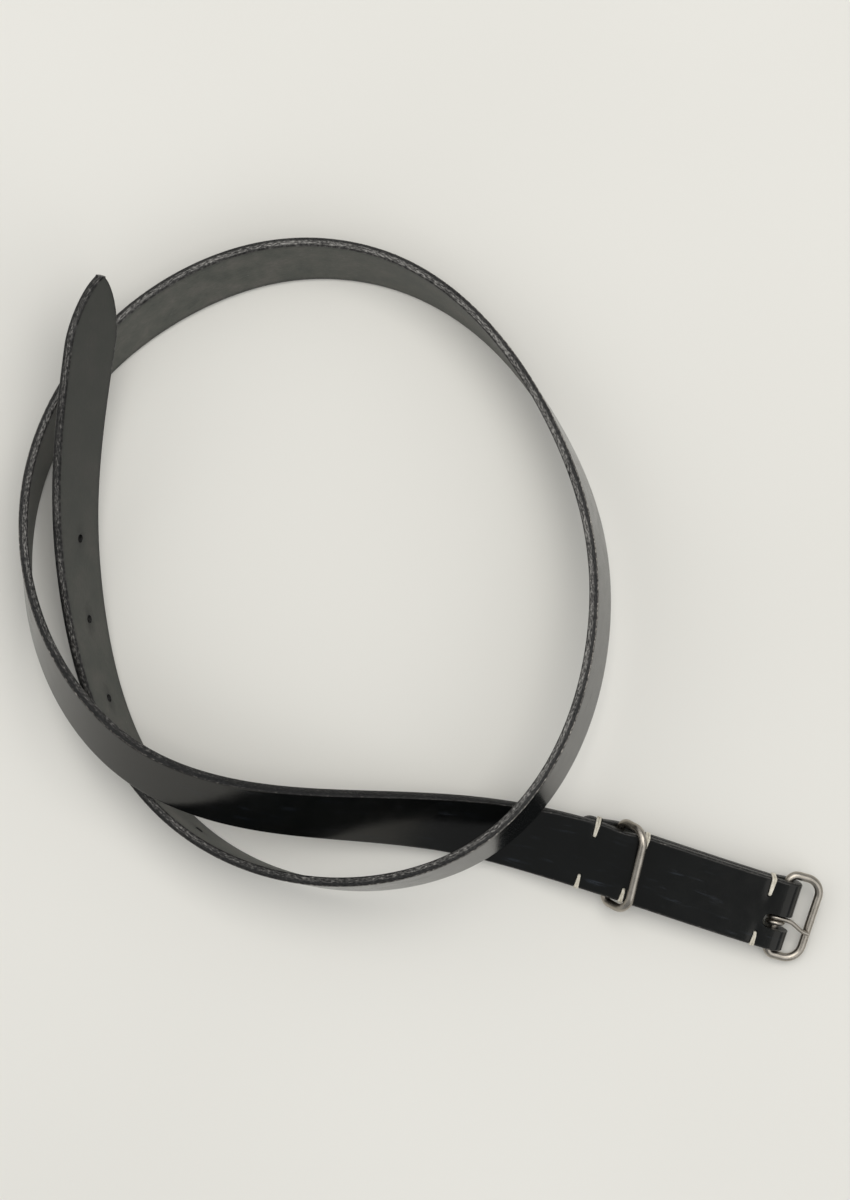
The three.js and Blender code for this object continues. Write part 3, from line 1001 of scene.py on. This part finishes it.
def plied_thread(centres, across):
    """Vertices and faces of the plies twisted round a closed path."""
    tangents = np.roll(centres, -1, axis=0) - np.roll(centres, 1, axis=0)
    tangents /= np.linalg.norm(tangents, axis=1, keepdims=True)
    first = np.tile(across, (len(centres), 1))
    first -= tangents * np.sum(first * tangents, axis=1, keepdims=True)
    first /= np.linalg.norm(first, axis=1, keepdims=True)
    second = np.cross(tangents, first)
    ply = PASS_WIRE / 2 * PLY_SHARE
    spread = PASS_WIRE / 2 - ply
    length = np.linalg.norm(centres - np.roll(centres, 1, axis=0), axis=1).sum()
    turns = round(length / PLY_LAY)
    twist = np.linspace(0, 2 * math.pi * turns, len(centres), endpoint=False)
    parts = []
    for i in range(PLIES):
        phase = (twist + 2 * math.pi * i / PLIES)[:, None]
        strand = centres + spread * (first * np.cos(phase) + second * np.sin(phase))
        parts.append(tube(strand, ply, PLY_SIDES, True))
    return merged(parts)


def stitch(name, s, hole_v, material):
    """Two passes of plied thread through both layers and round the strap's edge."""
    edge = WIDTH / 2 - THREAD_BITE + CLEARANCE / 2 + THREAD / 2
    lift = THREAD / 2 + THREAD_LIFT
    top = THICKNESS / 2 + lift
    bottom = -1.5 * THICKNESS - float(layer_gap(np.array(s))) - lift
    inner, outer = (hole_v, edge) if hole_v > 0 else (-edge, hole_v)
    outline = rounded_outline(inner, outer, bottom, top, (PASS_CORNER,) * 4, PASS_STEP)
    towards_edge = np.clip((np.abs(outline[:, 0]) - abs(hole_v)) / (edge - abs(hole_v)), 0, 1)
    parts = []
    for side in (1, -1):
        sideways = side * (PASS_TOGETHER + (PASS_SPREAD - PASS_TOGETHER) * towards_edge)
        height = outline[:, 1] - side * PASS_OFFSET
        centres = np.column_stack([sideways, height, outline[:, 0]])
        parts.append(plied_thread(centres, (1.0, 0.0, 0.0)))
    vertices, faces = merged(parts)
    vertices = place_in(strap_matrix(s), vertices)
    piece = outward(new_object(f"thread_{name}", vertices, faces, [material]))
    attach(piece, "strap")
    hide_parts(f"stitch_{name}")


# ---------------------------------------------------------------- floor, light and camera

# The camera hangs over the middle of the view, in metres, and turns with the picture.
CAMERA_HEIGHT = 1.2
CAMERA_X = (-9.5 - ORIGIN[0]) * MM
CAMERA_Y = (-1.5 - ORIGIN[1]) * MM
CAMERA_TURN = 17.65
VIEW_HEIGHT = 1200 / 2.85 * MM  # how much of the floor the picture's longer side takes in
FLOOR_SIZE = 6


def floor():
    bpy.ops.mesh.primitive_plane_add(size=FLOOR_SIZE, location=(0, 0, 0))
    ground = bpy.context.object
    ground.name = "floor"
    ground.data.materials.append(floor_material())


def area_light(name, azimuth, elevation, distance, size, power, colour=(1, 1, 1)):
    """A square light aimed at the belt; azimuth turns from the picture's right to its top."""
    turn = math.radians(azimuth + CAMERA_TURN)
    rise = math.radians(elevation)
    level = math.cos(rise)
    place = Vector((math.cos(turn) * level, math.sin(turn) * level, math.sin(rise)))
    lamp = bpy.data.lights.new(name, "AREA")
    lamp.shape = "SQUARE"
    lamp.size = size
    lamp.energy = power
    lamp.color = colour
    light = bpy.data.objects.new(name, lamp)
    light.location = place * distance
    light.rotation_euler = place.to_track_quat("Z", "Y").to_euler()
    bpy.context.scene.collection.objects.link(light)


def lights():
    area_light("key", 60, 76, 1.9, 1.5, 21, (1, 0.985, 0.955))
    area_light("fill_left", 165, 42, 2.0, 1.8, 8, (1, 0.985, 0.96))
    area_light("fill_right", -35, 42, 2.0, 1.8, 9)
    area_light("fill_back", 105, 34, 2.2, 1.8, 4)
    world = bpy.data.worlds.new("studio")
    world.use_nodes = True
    background = world.node_tree.nodes["Background"]
    background.inputs["Color"].default_value = (0.94, 0.97, 1, 1)
    background.inputs["Strength"].default_value = 0.38
    bpy.context.scene.world = world


def camera():
    """A camera straight above the belt, turned as the picture is."""
    lens = bpy.data.cameras.new("camera")
    lens.sensor_width = 36
    lens.lens = lens.sensor_width * CAMERA_HEIGHT / VIEW_HEIGHT
    eye = bpy.data.objects.new("camera", lens)
    eye.location = (CAMERA_X, CAMERA_Y, CAMERA_HEIGHT)
    eye.rotation_euler = (0, 0, math.radians(CAMERA_TURN))
    bpy.context.scene.collection.objects.link(eye)
    bpy.context.scene.camera = eye


def colour_management():
    bpy.context.scene.view_settings.view_transform = "Standard"
    bpy.context.scene.view_settings.look = "None"


camera()
lights()
floor()
colour_management()

strap()
NICKEL = wire_material()
wire_ring("buckle_wire", buckle_matrix(), NICKEL, "buckle", "buckle_frame")
wire_ring("keeper_wire", keeper_matrix(), NICKEL, "keeper", "keeper_ring")
prong(NICKEL)
THREAD_FINISH = thread_material()
for stitch_name, (stitch_s, stitch_v) in STITCHES.items():
    stitch(stitch_name, stitch_s, stitch_v, THREAD_FINISH)
